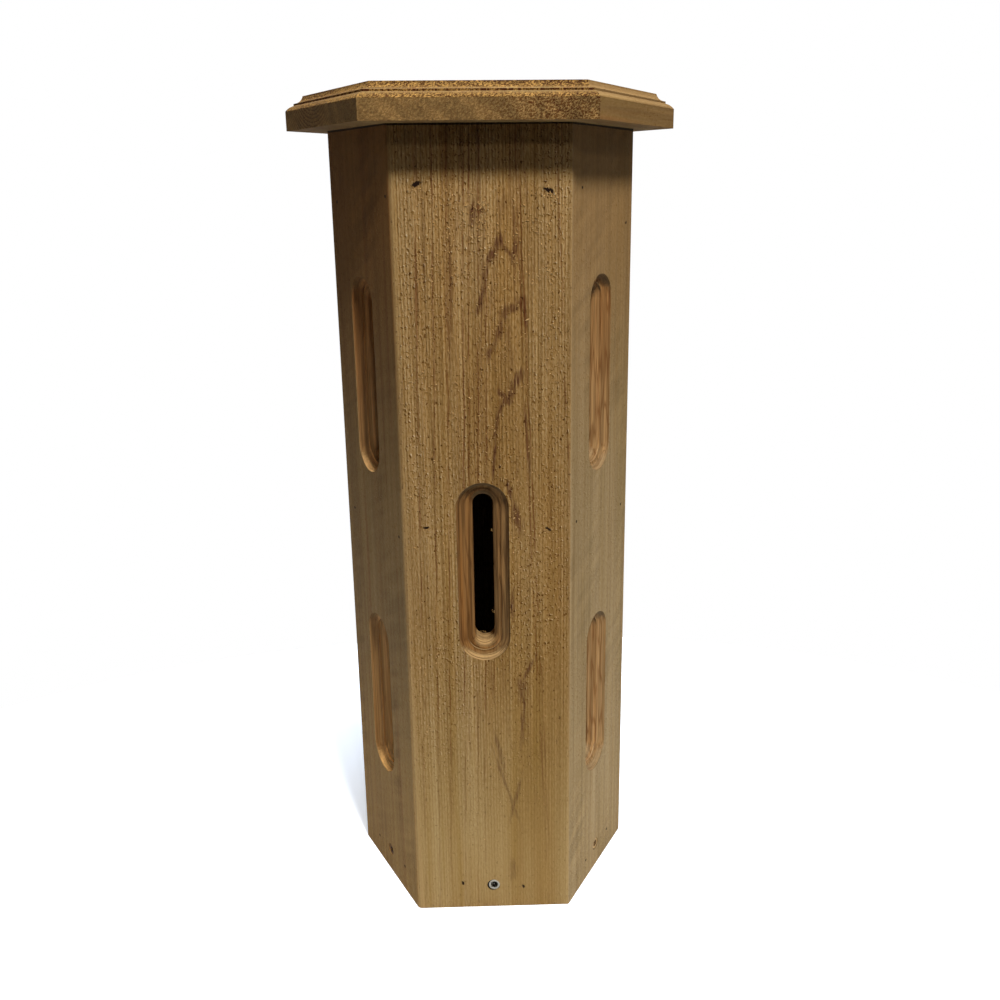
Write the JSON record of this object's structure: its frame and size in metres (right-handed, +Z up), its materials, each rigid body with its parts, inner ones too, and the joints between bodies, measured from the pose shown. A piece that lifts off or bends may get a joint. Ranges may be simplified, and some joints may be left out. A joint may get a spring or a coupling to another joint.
{
  "type": "butterfly house",
  "caption": "Tall free-standing six-sided cedar butterfly house with an overhanging ogee-edged roof board and upright routed entry slots in its walls.",
  "frame": {"origin": "middle of the six-sided footprint, on the surface that the wall feet rest on", "axes": "+Z up along the house; -Y out of the front board, the one with its screw and single slot to the viewer; +X to the right as seen from the front"},
  "size_m": [0.2404, 0.1972, 0.5285],
  "materials": {
    "rough_cedar": "rough-sawn, unfinished",
    "planed_cedar": "planed, unfinished",
    "roof_cedar": "planed, unfinished",
    "screw_zinc": "zinc plated, satin"
  },
  "bodies": {
    "root": {"wall_front": "rough_cedar", "wall_front_right": "planed_cedar", "wall_back_right": "planed_cedar", "wall_back": "rough_cedar", "wall_back_left": "planed_cedar", "wall_front_left": "planed_cedar", "floor_board": "planed_cedar", "roof_board": "roof_cedar", "screw_front": "screw_zinc", "screw_front_right": "screw_zinc", "screw_back_right": "screw_zinc", "screw_back": "screw_zinc", "screw_back_left": "screw_zinc", "screw_front_left": "screw_zinc"}
  },
  "joints": []
}
